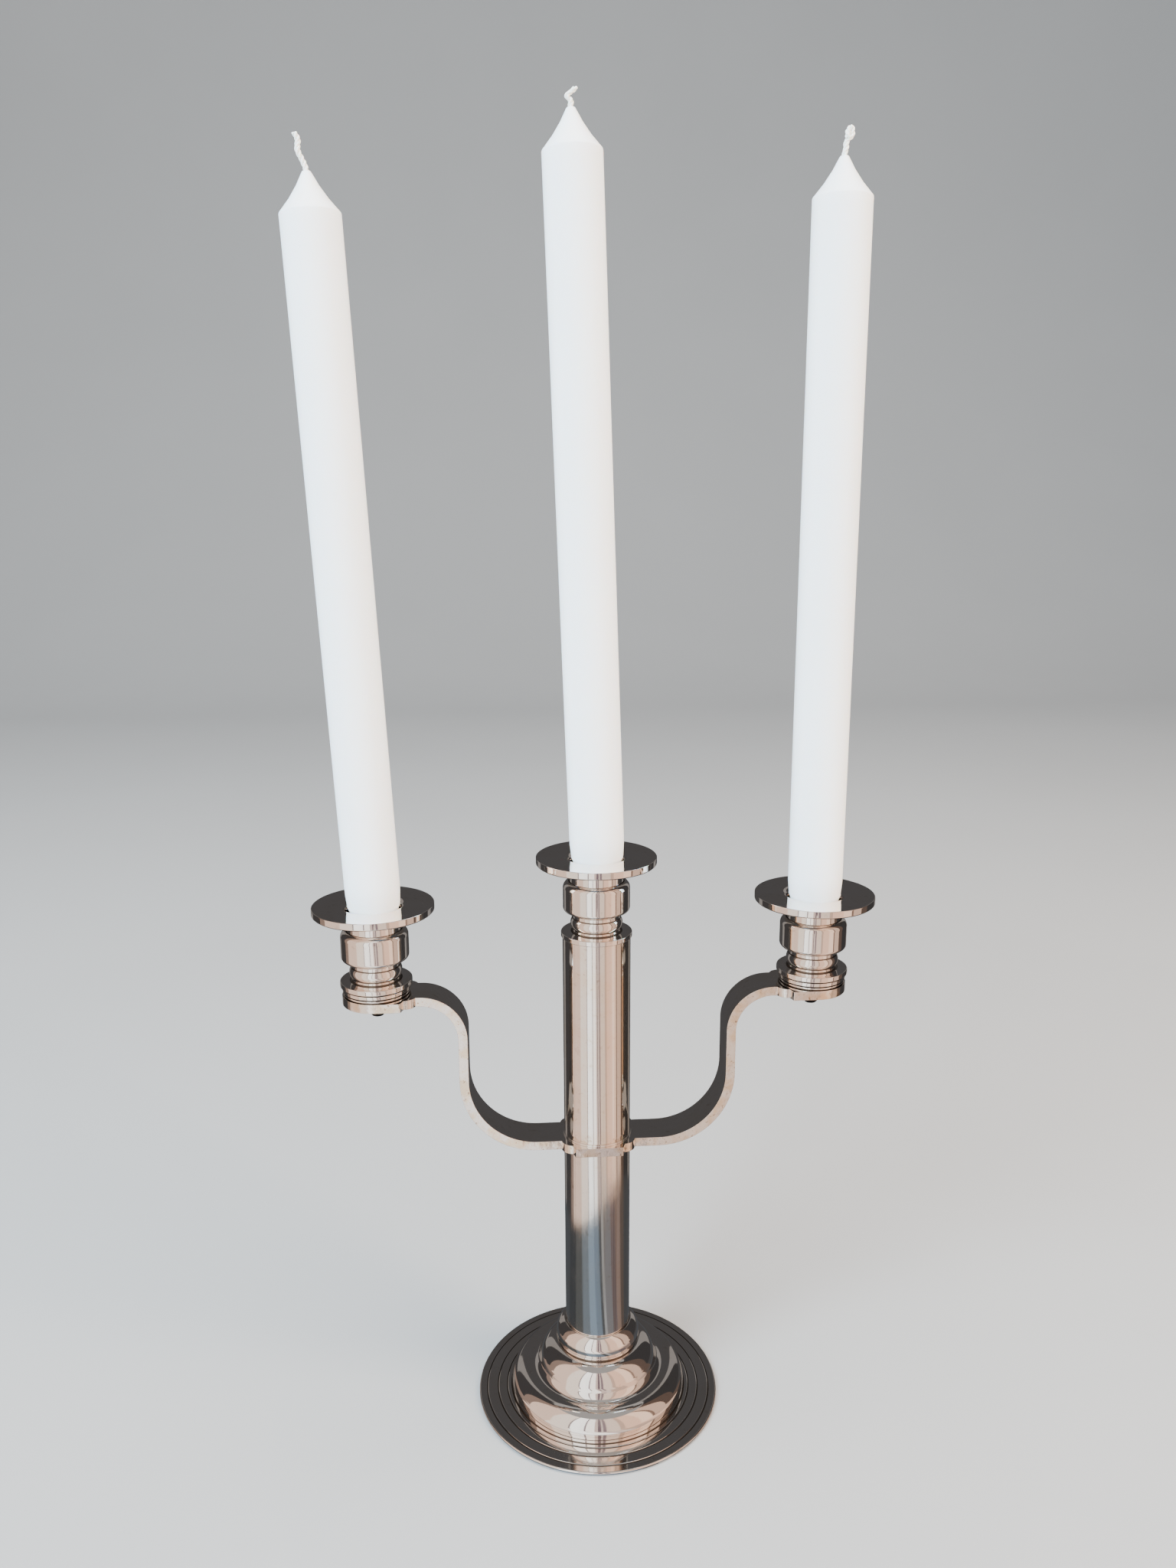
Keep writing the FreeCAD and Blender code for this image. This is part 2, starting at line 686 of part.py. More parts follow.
def build():
    """Make every sub-part and return them in assembly order."""
    fill_sheet()
    parts = [
        disc("base_felt", "felt_radius", "felt_thickness", "0"),
        disc("base_plate", "plate_radius", "plate_thickness", "felt_thickness"),
        base_weight(),
        base_shell(),
        base_nut(),
        disc("base_washer", "nut_washer_radius", "nut_washer_thickness",
             "pocket_top - nut_washer_thickness", "rod_hole"),
        stem_collar(),
        *stem(),
        branch_bar(),
    ]
    for side, across in (("left", "-arm_reach"), ("right", "arm_reach")):
        parts.append(spacer_ring(f"spacer_ring_{side}", across))
        parts.append(dish_washer(f"dish_washer_{side}", across))
        parts.append(screw(f"screw_{side}", across))
    lights = (
        ("left", "-arm_reach", SIDE_SEAT, "screw_radius + thread_gap", False),
        ("centre", "0", CENTRE_SEAT, "rod_radius + thread_gap", True),
        ("right", "arm_reach", SIDE_SEAT, "screw_radius + thread_gap", False),
    )
    for side, across, seat, bore, spigot in lights:
        fit = (across, seat, f"seat_{side}", f"lean_{side}", f"turn_{side}", f"slack_{side}")
        parts.append(socket(f"socket_{side}", across, seat, bore, spigot))
        parts.append(nozzle(f"nozzle_{side}", across, seat))
        parts.append(candle(f"candle_{side}", *fit))
        parts.append(wick(f"wick_{side}", *fit, WICK_ENDS[side]))
    DOCUMENT.recompute()
    return parts


def check(parts):
    """Stop if any object failed or any sub-part has no valid solid."""
    for item in DOCUMENT.Objects:
        if "Invalid" in item.State or "Error" in item.State:
            raise RuntimeError(f"{item.Name} failed: {item.State}")
    for item in parts:
        shape = item.Shape
        if shape.isNull() or not shape.isValid() or not shape.Solids:
            raise RuntimeError(f"{item.Label} has no valid solid")


def export(parts):
    """Write each sub-part to parts/LABEL.step and print its size and volume."""
    os.makedirs("parts", exist_ok=True)
    for item in parts:
        item.Shape.exportStep(os.path.join("parts", f"{item.Label}.step"))
        box = item.Shape.BoundBox
        print(f"{item.Label:20s} {box.XLength:7.1f} {box.YLength:7.1f} {box.ZLength:7.1f}"
              f"  z {box.ZMin:6.1f}..{box.ZMax:6.1f}  {item.Shape.Volume:10.1f} mm3")


pieces = build()
check(pieces)
export(pieces)
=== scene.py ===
import json
import math

import bpy
from mathutils import Matrix, Vector


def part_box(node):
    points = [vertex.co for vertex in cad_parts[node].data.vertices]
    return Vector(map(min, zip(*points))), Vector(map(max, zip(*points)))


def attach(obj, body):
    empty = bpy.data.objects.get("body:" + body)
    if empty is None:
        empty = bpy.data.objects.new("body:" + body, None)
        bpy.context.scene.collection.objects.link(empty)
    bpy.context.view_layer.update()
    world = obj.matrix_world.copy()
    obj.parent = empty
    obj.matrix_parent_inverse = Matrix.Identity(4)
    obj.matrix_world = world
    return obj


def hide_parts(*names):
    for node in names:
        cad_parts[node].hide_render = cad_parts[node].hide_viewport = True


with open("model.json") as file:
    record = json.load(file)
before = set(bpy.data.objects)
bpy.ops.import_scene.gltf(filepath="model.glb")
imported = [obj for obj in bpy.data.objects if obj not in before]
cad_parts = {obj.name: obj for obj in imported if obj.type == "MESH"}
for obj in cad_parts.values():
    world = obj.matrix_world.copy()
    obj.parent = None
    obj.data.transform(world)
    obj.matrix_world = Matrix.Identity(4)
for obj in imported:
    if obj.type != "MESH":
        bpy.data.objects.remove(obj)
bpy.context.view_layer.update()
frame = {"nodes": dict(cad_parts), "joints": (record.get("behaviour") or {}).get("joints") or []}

# A three-light table candelabra: silver plate, white dinner candles, cotton wicks.
# Profiles are in millimetres as (radius, height); everything else in the scene is in metres.

MM = 0.001
SIDES = ("left", "centre", "right")


# ---------------------------------------------------------------- places read from the frame

def low(node):
    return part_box(node)[0] / MM


def high(node):
    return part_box(node)[1] / MM


def middle(node):
    return (low(node) + high(node)) / 2


FOOT_RADIUS = high("base_shell").x
FOOT_BOTTOM = low("base_shell").z
FOOT_TOP = high("base_shell").z
PAN_RADIUS = (high("nozzle_centre").x - low("nozzle_centre").x) / 2
LEAN = {j["child"]: Vector(j["axis"]) for j in frame["joints"]}


# ---------------------------------------------------------------- modelling helpers

def only(piece):
    """Select one object alone and make it active."""
    bpy.ops.object.select_all(action="DESELECT")
    piece.select_set(True)
    bpy.context.view_layer.objects.active = piece


def pick(piece, wanted):
    """Enter edit mode with only the faces selected that pass a test."""
    only(piece)
    bpy.ops.object.mode_set(mode="EDIT")
    bpy.ops.mesh.select_mode(type="FACE")
    bpy.ops.mesh.select_all(action="DESELECT")
    bpy.ops.object.mode_set(mode="OBJECT")
    for face in piece.data.polygons:
        face.select = wanted(face)
    bpy.ops.object.mode_set(mode="EDIT")


def bow(start, end, radius, kind):
    """Points of the short arc from start to end, which bulges out of an anticlockwise outline
    when kind is "round" and bites into it when kind is "hollow"."""
    across = end - start
    half = across.length / 2
    rise = math.sqrt(max(radius * radius - half * half, 0))
    left = Vector((-across.y, across.x)).normalized()
    side = 1 if kind == "round" else -1
    centre = (start + end) / 2 + left * rise * side
    first = math.atan2(start.y - centre.y, start.x - centre.x)
    turn = 2 * math.asin(min(half / radius, 1)) * side
    steps = max(3, math.ceil(abs(turn) / math.radians(7)))
    return [centre + Vector((math.cos(first + turn * k / steps),
                             math.sin(first + turn * k / steps))) * radius
            for k in range(1, steps)] + [end]


def drawn(corners):
    """An outline's points from corners (x, y) or (x, y, radius, "round" or "hollow")."""
    points = [Vector(corners[0][:2])]
    for corner in corners[1:]:
        end = Vector(corner[:2])
        points += bow(points[-1], end, *corner[2:]) if len(corner) == 4 else [end]
    return points


def polish(piece, bevel=0.2, steps=3):
    """Ease the sharp edges and give the long faces true normals."""
    only(piece)
    if bevel:
        ease = piece.modifiers.new("eased edges", "BEVEL")
        ease.width = bevel * MM
        ease.segments = steps
        ease.limit_method = "ANGLE"
        ease.angle_limit = math.radians(32)
        ease.use_clamp_overlap = True
        bpy.ops.object.modifier_apply(modifier=ease.name)
    bpy.ops.object.shade_smooth()
    true = piece.modifiers.new("true faces", "WEIGHTED_NORMAL")
    true.weight = 80
    bpy.ops.object.modifier_apply(modifier=true.name)
    return piece


def lathe(name, corners, base, across=0.0, bored=False, sides=128):
    """Turn a profile: a ring is extruded and scaled from corner to corner, then closed."""
    points = drawn(corners)
    centre = Vector((across, 0, base)) * MM
    bpy.ops.object.select_all(action="DESELECT")
    start = centre + Vector((0, 0, points[0].y * MM))
    bpy.ops.mesh.primitive_circle_add(vertices=sides, radius=points[0].x * MM, location=start)
    piece = bpy.context.object
    piece.name = name
    bpy.ops.object.mode_set(mode="EDIT")
    bpy.ops.mesh.select_mode(type="EDGE")
    bpy.ops.mesh.select_all(action="SELECT")
    for before, after in zip(points, points[1:] + (points[:1] if bored else [])):
        rise = (0, 0, (after.y - before.y) * MM)
        bpy.ops.mesh.extrude_edges_move(TRANSFORM_OT_translate={"value": rise})
        grow = after.x / before.x
        bpy.ops.transform.resize(value=(grow, grow, 1), center_override=centre)
    bpy.ops.mesh.select_all(action="SELECT")
    bpy.ops.mesh.remove_doubles(threshold=0.002 * MM)
    if not bored:
        bpy.ops.mesh.fill_holes(sides=0)
    bpy.ops.mesh.select_all(action="SELECT")
    bpy.ops.mesh.normals_make_consistent(inside=False)
    bpy.ops.object.mode_set(mode="OBJECT")
    only(piece)
    bpy.ops.object.transform_apply(location=True, rotation=True, scale=True)
    return piece


def settle(piece, body, slot, finish, *nodes):
    """Give a finished piece its material and its body, and hide the nodes that it stands for."""
    piece.data.materials.clear()
    piece.data.materials.append(finish)
    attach(piece, body)
    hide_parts(*nodes)
    return piece


def paint_groove_shade_and_tarnish(piece, across, rings):
    """Lay the dark second material on faces in turned corners and grooves: painted shade and
    painted dark reflection in part, tarnish in part. Each place is given as its lowest and
    highest radius, then its lowest and highest height."""
    piece.data.materials.append(GROOVE_SHADE_AND_TARNISH)
    for face in piece.data.polygons:
        out = math.hypot(face.center.x / MM - across, face.center.y / MM)
        up = face.center.z / MM
        if any(r0 < out < r1 and z0 < up < z1 for r0, r1, z0, z1 in rings):
            face.material_index = 1


# ---------------------------------------------------------------- shader helpers

def add(tree, kind, **values):
    """A shader node with its properties or inputs set by name."""
    node = tree.nodes.new(kind)
    for key, value in values.items():
        if hasattr(node, key):
            setattr(node, key, value)
        else:
            node.inputs[key.replace("_", " ")].default_value = value
    return node


def new_group(name, inputs, outputs):
    """An empty node group with its sockets, and its two end nodes."""
    tree = bpy.data.node_groups.new(name, "ShaderNodeTree")
    for label, kind, value in inputs:
        socket = tree.interface.new_socket(name=label, in_out="INPUT", socket_type=kind)
        if value is not None:
            socket.default_value = value
    for label, kind in outputs:
        tree.interface.new_socket(name=label, in_out="OUTPUT", socket_type=kind)
    return tree, tree.nodes.new("NodeGroupInput"), tree.nodes.new("NodeGroupOutput")


def use(tree, group, **values):
    """Place a node group and set its inputs by name."""
    node = tree.nodes.new("ShaderNodeGroup")
    node.node_tree = group
    for key, value in values.items():
        node.inputs[key.replace("_", " ")].default_value = value
    return node


def maths(tree, operation, first, second=None, clamp=False):
    """A math node fed by sockets or numbers; returns its output."""
    node = tree.nodes.new("ShaderNodeMath")
    node.operation = operation
    node.use_clamp = clamp
    for index, value in enumerate((first, second)):
        if value is None:
            continue
        if isinstance(value, (int, float)):
            node.inputs[index].default_value = value
        else:
            tree.links.new(value, node.inputs[index])
    return node.outputs[0]


def remap(tree, value, from_low, from_high, to_low, to_high):
    """Stretch a value from one range to another, clamped."""
    node = add(tree, "ShaderNodeMapRange", From_Min=from_low, From_Max=from_high,
               To_Min=to_low, To_Max=to_high)
    tree.links.new(value, node.inputs["Value"])
    return node.outputs["Result"]


def blend(tree, mask, first, second):
    """Mix two colours, each a socket or a colour, by a mask."""
    node = add(tree, "ShaderNodeMix", data_type="RGBA")
    for socket, value in ((node.inputs["Factor"], mask), (node.inputs[6], first),
                          (node.inputs[7], second)):
        if isinstance(value, (tuple, float)):
            socket.default_value = value
        else:
            tree.links.new(value, socket)
    return node.outputs[2]


def stretched(tree, vector, scale):
    """Coordinates scaled per axis."""
    node = add(tree, "ShaderNodeMapping", Scale=scale)
    tree.links.new(vector, node.inputs["Vector"])
    return node.outputs["Vector"]


def noise(tree, vector, scale, detail=4.0, roughness=0.55):
    """Value of a noise texture."""
    node = add(tree, "ShaderNodeTexNoise", Scale=scale, Detail=detail, Roughness=roughness)
    tree.links.new(vector, node.inputs["Vector"])
    return node.outputs["Fac"]


def begin(name, **constants):
    """A material with its Principled shader, object coordinates and fixed values."""
    made = bpy.data.materials.new(name)
    made.use_nodes = True
    tree = made.node_tree
    shader = tree.nodes["Principled BSDF"]
    for key, value in constants.items():
        shader.inputs[key.replace("_", " ")].default_value = value
    place = tree.nodes.new("ShaderNodeTexCoord").outputs["Object"]
    return made, tree, shader, place


def raise_surface(tree, shader, heights):
    """Chain bump nodes from (height socket, strength, depth in mm) onto the shader's normal."""
    normal = None
    for height, strength, depth in heights:
        bump = add(tree, "ShaderNodeBump", Strength=strength, Distance=depth * MM)
        tree.links.new(height, bump.inputs["Height"])
        if normal:
            tree.links.new(normal, bump.inputs["Normal"])
        normal = bump.outputs["Normal"]
    tree.links.new(normal, shader.inputs["Normal"])


# ---------------------------------------------------------------- shared effects

def make_tarnish():
    """Soft patches where the plate has yellowed, and small darker freckles in them."""
    tree, start, end = new_group(
        "tarnish",
        [("Vector", "NodeSocketVector", None), ("Amount", "NodeSocketFloat", 0.5)],
        [("Patches", "NodeSocketFloat"), ("Freckles", "NodeSocketFloat")])
    patches = noise(tree, start.outputs["Vector"], 55, 5, 0.6)
    spread = remap(tree, patches, 0.44, 0.74, 0, 1)
    freckles = noise(tree, start.outputs["Vector"], 420, 3, 0.5)
    dots = remap(tree, freckles, 0.60, 0.72, 0, 1)
    tree.links.new(maths(tree, "MULTIPLY", spread, start.outputs["Amount"], True),
                   end.inputs["Patches"])
    spots = maths(tree, "MULTIPLY", dots, maths(tree, "ADD", spread, 0.25))
    tree.links.new(maths(tree, "MULTIPLY", spots, start.outputs["Amount"], True),
                   end.inputs["Freckles"])
    return tree


def make_handling():
    """Finger smears and wiping marks, as a roughness to add and a very low relief."""
    tree, start, end = new_group(
        "handling",
        [("Vector", "NodeSocketVector", None), ("Amount", "NodeSocketFloat", 0.5)],
        [("Roughness", "NodeSocketFloat"), ("Relief", "NodeSocketFloat")])
    smears = noise(tree, stretched(tree, start.outputs["Vector"], (1, 1, 0.45)), 70, 6, 0.7)
    film = remap(tree, smears, 0.46, 0.78, 0, 0.16)
    tree.links.new(maths(tree, "MULTIPLY", film, start.outputs["Amount"]),
                   end.inputs["Roughness"])
    tree.links.new(noise(tree, start.outputs["Vector"], 26, 2, 0.4), end.inputs["Relief"])
    return tree


def make_scratches():
    """Hair scratches in three directions, as a height."""
    tree, start, end = new_group(
        "scratches", [("Vector", "NodeSocketVector", None)], [("Height", "NodeSocketFloat")])
    total = None
    for turn, scale in ((0.3, (900, 900, 24)), (1.2, (700, 700, 46)), (-0.5, (60, 60, 1500))):
        tilt = add(tree, "ShaderNodeMapping", Rotation=(turn, turn * 0.6, 0.2))
        tree.links.new(start.outputs["Vector"], tilt.inputs["Vector"])
        lines = noise(tree, stretched(tree, tilt.outputs["Vector"], scale), 1, 2, 0.5)
        sharp = remap(tree, lines, 0.66, 0.72, 0, 1)
        total = sharp if total is None else maths(tree, "MAXIMUM", total, sharp)
    tree.links.new(total, end.inputs["Height"])
    return tree


TARNISH = make_tarnish()
HANDLING = make_handling()
SCRATCHES = make_scratches()


# ---------------------------------------------------------------- finishes

def silver(name, tint, shine=0.05, tarnish=0.3, handled=0.5, marks=(0, 0, 0), pitted=0.0,
           drawn_streaks=0.0):
    """Silver plate. marks scales the fine tool marks per axis, pitted is how eaten and tanned
    the faces that look along Y are, and drawn_streaks how strongly a tube is stained lengthwise."""
    made, tree, shader, place = begin(name, Metallic=1.0)
    stain = use(tree, TARNISH, Amount=tarnish)
    touch = use(tree, HANDLING, Amount=handled)
    hairs = use(tree, SCRATCHES)
    for group in (stain, touch, hairs):
        tree.links.new(place, group.inputs["Vector"])
    worn = tuple(c * k for c, k in zip(tint, (0.93, 0.82, 0.66))) + (1,)
    dark = tuple(c * k for c, k in zip(tint, (0.50, 0.40, 0.31))) + (1,)
    colour = blend(tree, stain.outputs["Patches"], tint + (1,), worn)
    colour = blend(tree, stain.outputs["Freckles"], colour, dark)
    rough = maths(tree, "ADD", touch.outputs["Roughness"], shine)
    rough = maths(tree, "ADD", rough, maths(tree, "MULTIPLY", stain.outputs["Patches"], 0.10))
    heights = [(touch.outputs["Relief"], 0.12, 0.10), (hairs.outputs["Height"], 0.06, 0.006)]
    if any(marks):
        lines = noise(tree, stretched(tree, place, marks), 1, 3, 0.6)
        heights.append((lines, 0.08, 0.002))
    if drawn_streaks:
        broad = noise(tree, stretched(tree, place, (120, 120, 2.2)), 1, 2, 0.5)
        narrow = noise(tree, stretched(tree, place, (520, 520, 3.0)), 1, 2, 0.5)
        bands = remap(tree, broad, 0.50, 0.66, 0, drawn_streaks)
        threads = remap(tree, narrow, 0.60, 0.68, 0, drawn_streaks * 0.8)
        colour = blend(tree, bands, colour, worn)
        colour = blend(tree, threads, colour, dark)
        rough = maths(tree, "ADD", rough, maths(tree, "MULTIPLY", bands, 0.06))
    if pitted:
        facing = add(tree, "ShaderNodeSeparateXYZ")
        tree.links.new(tree.nodes.new("ShaderNodeNewGeometry").outputs["Normal"],
                       facing.inputs["Vector"])
        front = remap(tree, maths(tree, "ABSOLUTE", facing.outputs["Y"]), 0.5, 0.9, 0, 1)
        dents = noise(tree, place, 330, 3, 0.6)
        ripple = noise(tree, place, 130, 2, 0.5)
        worked = maths(tree, "MULTIPLY", maths(tree, "ADD", dents, ripple), front)
        heights.append((worked, pitted, 0.5))
        tanned = remap(tree, ripple, 0.46, 0.60, 0, 1)
        colour = blend(tree, maths(tree, "MULTIPLY", tanned, front), colour, worn)
        chips = remap(tree, noise(tree, place, 620, 2, 0.5), 0.62, 0.72, 0, 1)
        colour = blend(tree, maths(tree, "MULTIPLY", chips, front), colour, dark)
        rough = maths(tree, "ADD", rough, maths(tree, "MULTIPLY", front, 0.10))
    tree.links.new(colour, shader.inputs["Base Color"])
    tree.links.new(rough, shader.inputs["Roughness"])
    raise_surface(tree, shader, heights)
    return made


def wax(name, tone):
    """Dinner candle wax: satin, a little see-through, with faint dipping ripples."""
    made, tree, shader, place = begin(
        name, Subsurface_Weight=0.55, Subsurface_Scale=0.006,
        Subsurface_Radius=(1.0, 0.78, 0.62), IOR=1.44, Coat_Weight=0.12, Coat_Roughness=0.3)
    clouds = noise(tree, place, 40, 4, 0.6)
    colour = blend(tree, remap(tree, clouds, 0.35, 0.75, 0, 1), tone + (1,),
                   tuple(c * k for c, k in zip(tone, (0.985, 0.975, 0.95))) + (1,))
    rubs = noise(tree, stretched(tree, place, (1, 1, 0.2)), 260, 4, 0.6)
    tree.links.new(colour, shader.inputs["Base Color"])
    tree.links.new(remap(tree, rubs, 0.3, 0.8, 0.30, 0.48), shader.inputs["Roughness"])
    ripples = noise(tree, stretched(tree, place, (1, 1, 0.12)), 170, 3, 0.5)
    grain = noise(tree, place, 1400, 2, 0.5)
    raise_surface(tree, shader, [(ripples, 0.35, 0.10), (grain, 0.15, 0.02)])
    return made


def cotton(name):
    """Waxed cotton yarn."""
    made, tree, shader, place = begin(
        name, Sheen_Weight=0.4, Sheen_Roughness=0.5, Subsurface_Weight=0.2,
        Subsurface_Scale=0.001)
    fibres = noise(tree, stretched(tree, place, (1, 1, 0.35)), 4200, 3, 0.6)
    soaked = noise(tree, place, 420, 2, 0.5)
    colour = blend(tree, remap(tree, fibres, 0.35, 0.7, 0, 1), (0.80, 0.75, 0.67, 1),
                   (0.95, 0.93, 0.88, 1))
    colour = blend(tree, remap(tree, soaked, 0.5, 0.7, 0, 0.5), colour, (0.88, 0.85, 0.79, 1))
    tree.links.new(colour, shader.inputs["Base Color"])
    tree.links.new(remap(tree, soaked, 0.35, 0.7, 0.75, 0.4), shader.inputs["Roughness"])
    raise_surface(tree, shader, [(fibres, 0.6, 0.08)])
    return made


def felt(name):
    """Dark green baize."""
    made, tree, shader, place = begin(name, Sheen_Weight=0.6, Sheen_Roughness=0.45)
    fuzz = noise(tree, place, 2600, 4, 0.7)
    bald = noise(tree, place, 60, 3, 0.5)
    colour = blend(tree, remap(tree, fuzz, 0.35, 0.7, 0, 1), (0.012, 0.030, 0.020, 1),
                   (0.035, 0.070, 0.050, 1))
    colour = blend(tree, remap(tree, bald, 0.55, 0.75, 0, 0.4), colour, (0.09, 0.10, 0.08, 1))
    tree.links.new(colour, shader.inputs["Base Color"])
    tree.links.new(remap(tree, fuzz, 0.3, 0.7, 0.85, 1.0), shader.inputs["Roughness"])
    raise_surface(tree, shader, [(fuzz, 0.8, 0.15)])
    return made


def plain_metal(name, colour, worn, shine, marks):
    """Steel or brass with fine turning lines and worn patches."""
    made, tree, shader, place = begin(name, Metallic=1.0)
    patches = noise(tree, place, 180, 4, 0.6)
    lines = noise(tree, stretched(tree, place, marks), 1, 3, 0.6)
    tree.links.new(blend(tree, remap(tree, patches, 0.45, 0.7, 0, 1), colour, worn),
                   shader.inputs["Base Color"])
    tree.links.new(remap(tree, patches, 0.3, 0.75, shine, shine + 0.22),
                   shader.inputs["Roughness"])
    raise_surface(tree, shader, [(lines, 0.35, 0.02)])
    return made


def plaster(name):
    """Coarse cast filler with air holes."""
    made, tree, shader, place = begin(name)
    sand = noise(tree, place, 900, 5, 0.7)
    holes = remap(tree, noise(tree, place, 300, 2, 0.4), 0.30, 0.38, 0, 1)
    colour = blend(tree, remap(tree, sand, 0.35, 0.7, 0, 1), (0.42, 0.40, 0.37, 1),
                   (0.62, 0.60, 0.56, 1))
    # The air holes are painted dark: painted shade in the holes.
    tree.links.new(blend(tree, holes, (0.20, 0.19, 0.18, 1), colour),
                   shader.inputs["Base Color"])
    tree.links.new(remap(tree, sand, 0.3, 0.7, 0.8, 0.95), shader.inputs["Roughness"])
    raise_surface(tree, shader, [(sand, 0.5, 0.2), (holes, 0.6, 0.4)])
    return made


WARM_SILVER = (0.93, 0.875, 0.83)
COOL_SILVER = (0.86, 0.835, 0.81)
PAN = silver("polished_pan", WARM_SILVER, 0.035, 0.25, 0.45, marks=(40, 40, 5200))
TURNED = silver("turned_silver", WARM_SILVER, 0.045, 0.30, 0.50, marks=(60, 60, 6500))
UPPER = silver("upper_tube_silver", WARM_SILVER, 0.04, 0.75, 0.50, marks=(2600, 2600, 18),
               drawn_streaks=0.55)
LOWER = silver("lower_tube_silver", COOL_SILVER, 0.09, 0.25, 0.75, marks=(3400, 3400, 26),
               drawn_streaks=0.40)
FOOT = silver("spun_foot_silver", WARM_SILVER, 0.045, 0.22, 0.55, marks=(50, 50, 5200))
BAR = silver("bent_bar_silver", WARM_SILVER, 0.05, 0.35, 0.55, pitted=0.24)
# Dark silver for grooves and corners: painted shade and painted dark reflection in part, tarnish in
# part.
GROOVE_SHADE_AND_TARNISH = silver("groove_shade_and_tarnish", (0.15, 0.125, 0.105), 0.30, 0.6, 0.6)
WAX = wax("candle_wax", (0.94, 0.96, 0.975))
COTTON = cotton("waxed_cotton")
FELT = felt("baize")
STEEL = plain_metal("blackened_steel", (0.055, 0.052, 0.050, 1), (0.14, 0.13, 0.12, 1), 0.22,
                    (60, 60, 5200))
BRASS = plain_metal("turned_brass", (0.70, 0.50, 0.22, 1), (0.45, 0.31, 0.13, 1), 0.25,
                    (60, 60, 5200))
PLASTER = plaster("cast_plaster")


# ---------------------------------------------------------------- foot

def foot():
    """Spun shell: rolled rim, three low steps, dome, cove and bulb, hollow below. A narrow
    dark line lies at the foot of each step and of the dome: painted shade and painted dark
    reflection in part, tarnish in part."""
    rim = 0.7
    top = FOOT_BOTTOM + 2 * rim
    step = 0.2
    dome, dome_round, dome_low = 38.3, 8.5, 4.95
    cove_reach, cove_round = 29.6, 4.2
    cove_turn = math.radians(78)
    bulb_round, bulb_turn = 10.9, math.radians(71.5)
    wall = 1.2
    cove_high = dome_low + dome_round + cove_round
    bulb_reach = cove_reach - (cove_round + bulb_round) * math.sin(cove_turn)
    bulb_high = cove_high - (cove_round + bulb_round) * math.cos(cove_turn)

    def skin(inset):
        """Dome, cove and bulb, upwards, a distance under the outer face."""
        shell, hollow, bulb = dome_round - inset, cove_round + inset, bulb_round - inset
        return [
            (dome - inset, dome_low),
            (dome - dome_round, dome_low + shell, shell, "round"),
            (cove_reach, dome_low + shell),
            (cove_reach - hollow * math.sin(cove_turn), cove_high - hollow * math.cos(cove_turn),
             hollow, "hollow"),
            (bulb_reach + bulb * math.cos(bulb_turn), bulb_high + bulb * math.sin(bulb_turn),
             bulb, "round"),
        ]

    rings = []
    lines = []
    # Width of the flat ring at each step's foot that takes the dark line of painted shade and
    # tarnish.
    shade_and_tarnish_width = 0.45
    level = top
    for radius in (49.2, 44.4, 40.3):
        rings += [(radius + shade_and_tarnish_width, level), (radius, level), (radius - 0.25, level + step)]
        lines.append((radius, radius + shade_and_tarnish_width, level - step, level + step))
        level += step
    outer = skin(0)
    inner = drawn([(dome - wall, FOOT_BOTTOM)] + skin(wall))
    neck, bore = 17.5, 3.3
    corners = [
        (FOOT_RADIUS - rim, FOOT_BOTTOM),
        (FOOT_RADIUS, FOOT_BOTTOM + rim, rim, "round"),
        (FOOT_RADIUS - rim, top, rim, "round"),
        *rings,
        (dome + shade_and_tarnish_width, level),
        (dome, level),
        *outer,
        (neck, FOOT_TOP),
        (bore, FOOT_TOP),
        (bore, inner[-1].y),
        *[tuple(point) for point in reversed(inner)],
    ]
    piece = polish(lathe("foot_shell", corners, 0, bored=True, sides=192), 0.12)
    settle(piece, "root", "silver_plate", FOOT, "base_shell")
    # The dark lines at the feet of the steps and the dome are painted shade and painted dark
    # reflection in part, tarnish in part.
    lines.append((dome, dome + shade_and_tarnish_width, level - step, level + step))
    paint_groove_shade_and_tarnish(piece, 0, lines)


def collar():
    """Domed collar on a narrow neck, with the tube's socket and spigot."""
    corners = [
        (3.3, 0), (17.3, 0), (17.3, 0.9), (18.1, 1.4), (14.7, 10.1, 8.0, "round"),
        (14.1, 10.1), (14.1, 5.6), (12.9, 5.6), (12.9, 12.0), (3.3, 12.0),
    ]
    base = low("stem_collar").z
    piece = polish(lathe("collar", corners, base, bored=True), 0.12)
    settle(piece, "root", "silver_plate", TURNED, "stem_collar")
    # Dark ring at the collar's foot, where it meets the shell: painted shade and painted dark
    # reflection in part, tarnish in part.
    paint_groove_shade_and_tarnish(piece, 0, [(17.0, 17.5, base - 0.1, base + 0.7)])


# ---------------------------------------------------------------- stem

def tubes():
    """Lower and upper stem tubes with the thin seat ring between them."""
    for name, node, finish in (("stem_lower", "lower_tube", LOWER),
                               ("stem_upper", "upper_tube", UPPER),
                               ("stem_seat_ring", "seat_ring", PAN)):
        base = low(node).z
        tall = high(node).z - base
        radius = high(node).x
        bore = 3.3 if node == "seat_ring" else radius - 1
        corners = [(bore, 0), (radius, 0), (radius, tall), (bore, tall)]
        piece = polish(lathe(name, corners, base, bored=True), 0.12)
        settle(piece, "root", "silver_plate", finish, node)


# ---------------------------------------------------------------- branch bar

def push(distance, width_change=1.0, centre=None):
    """Extrude the selected end face and set its new width along Y."""
    bpy.ops.mesh.extrude_region_move(TRANSFORM_OT_translate={"value": distance})
    if width_change != 1.0:
        bpy.ops.transform.resize(value=(1, width_change, 1), center_override=centre)


